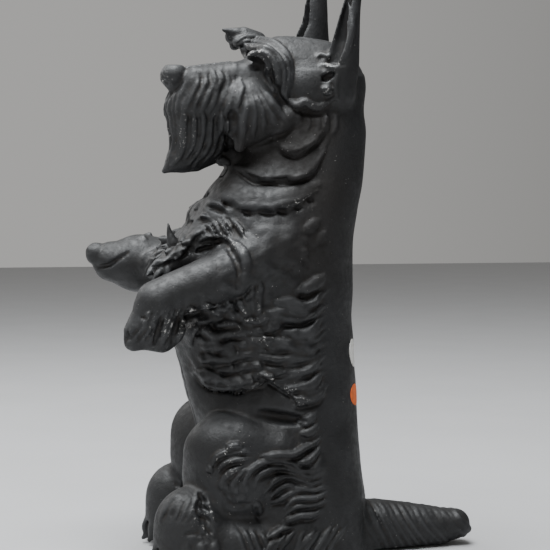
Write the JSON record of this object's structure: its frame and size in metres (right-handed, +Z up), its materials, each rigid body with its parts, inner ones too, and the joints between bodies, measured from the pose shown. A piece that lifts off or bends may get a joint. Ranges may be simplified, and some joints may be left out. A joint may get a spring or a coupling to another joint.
{
  "type": "door stop",
  "caption": "Heavy black cast-iron door stop in the form of a terrier sitting up to beg, hollow, in two halves screwed together, on rubber studs.",
  "frame": {"origin": "on the floor, under the middle of the dog's bounding box", "axes": "+Z up, the dog looks along -X and its tail lies along +X, its left side is -Y"},
  "size_m": [0.253, 0.1221, 0.381],
  "materials": {
    "painted_iron": "cast iron under old black paint, satin, rubbed and chipped on the ridges",
    "plated_steel": "dull plated steel",
    "stud_rubber": "matt black",
    "white_paper": "matt",
    "orange_paper": "matt"
  },
  "bodies": {
    "root": {"left_casting": "painted_iron", "right_casting": "painted_iron", "shoulder_screw": "plated_steel", "waist_screw": "plated_steel", "haunch_screw": "plated_steel", "upper_locating_pin": "plated_steel", "lower_locating_pin": "plated_steel", "front_left_stud": "stud_rubber", "front_right_stud": "stud_rubber", "rear_left_stud": "stud_rubber", "rear_right_stud": "stud_rubber", "white_label": "white_paper", "orange_label": "orange_paper"}
  },
  "joints": []
}
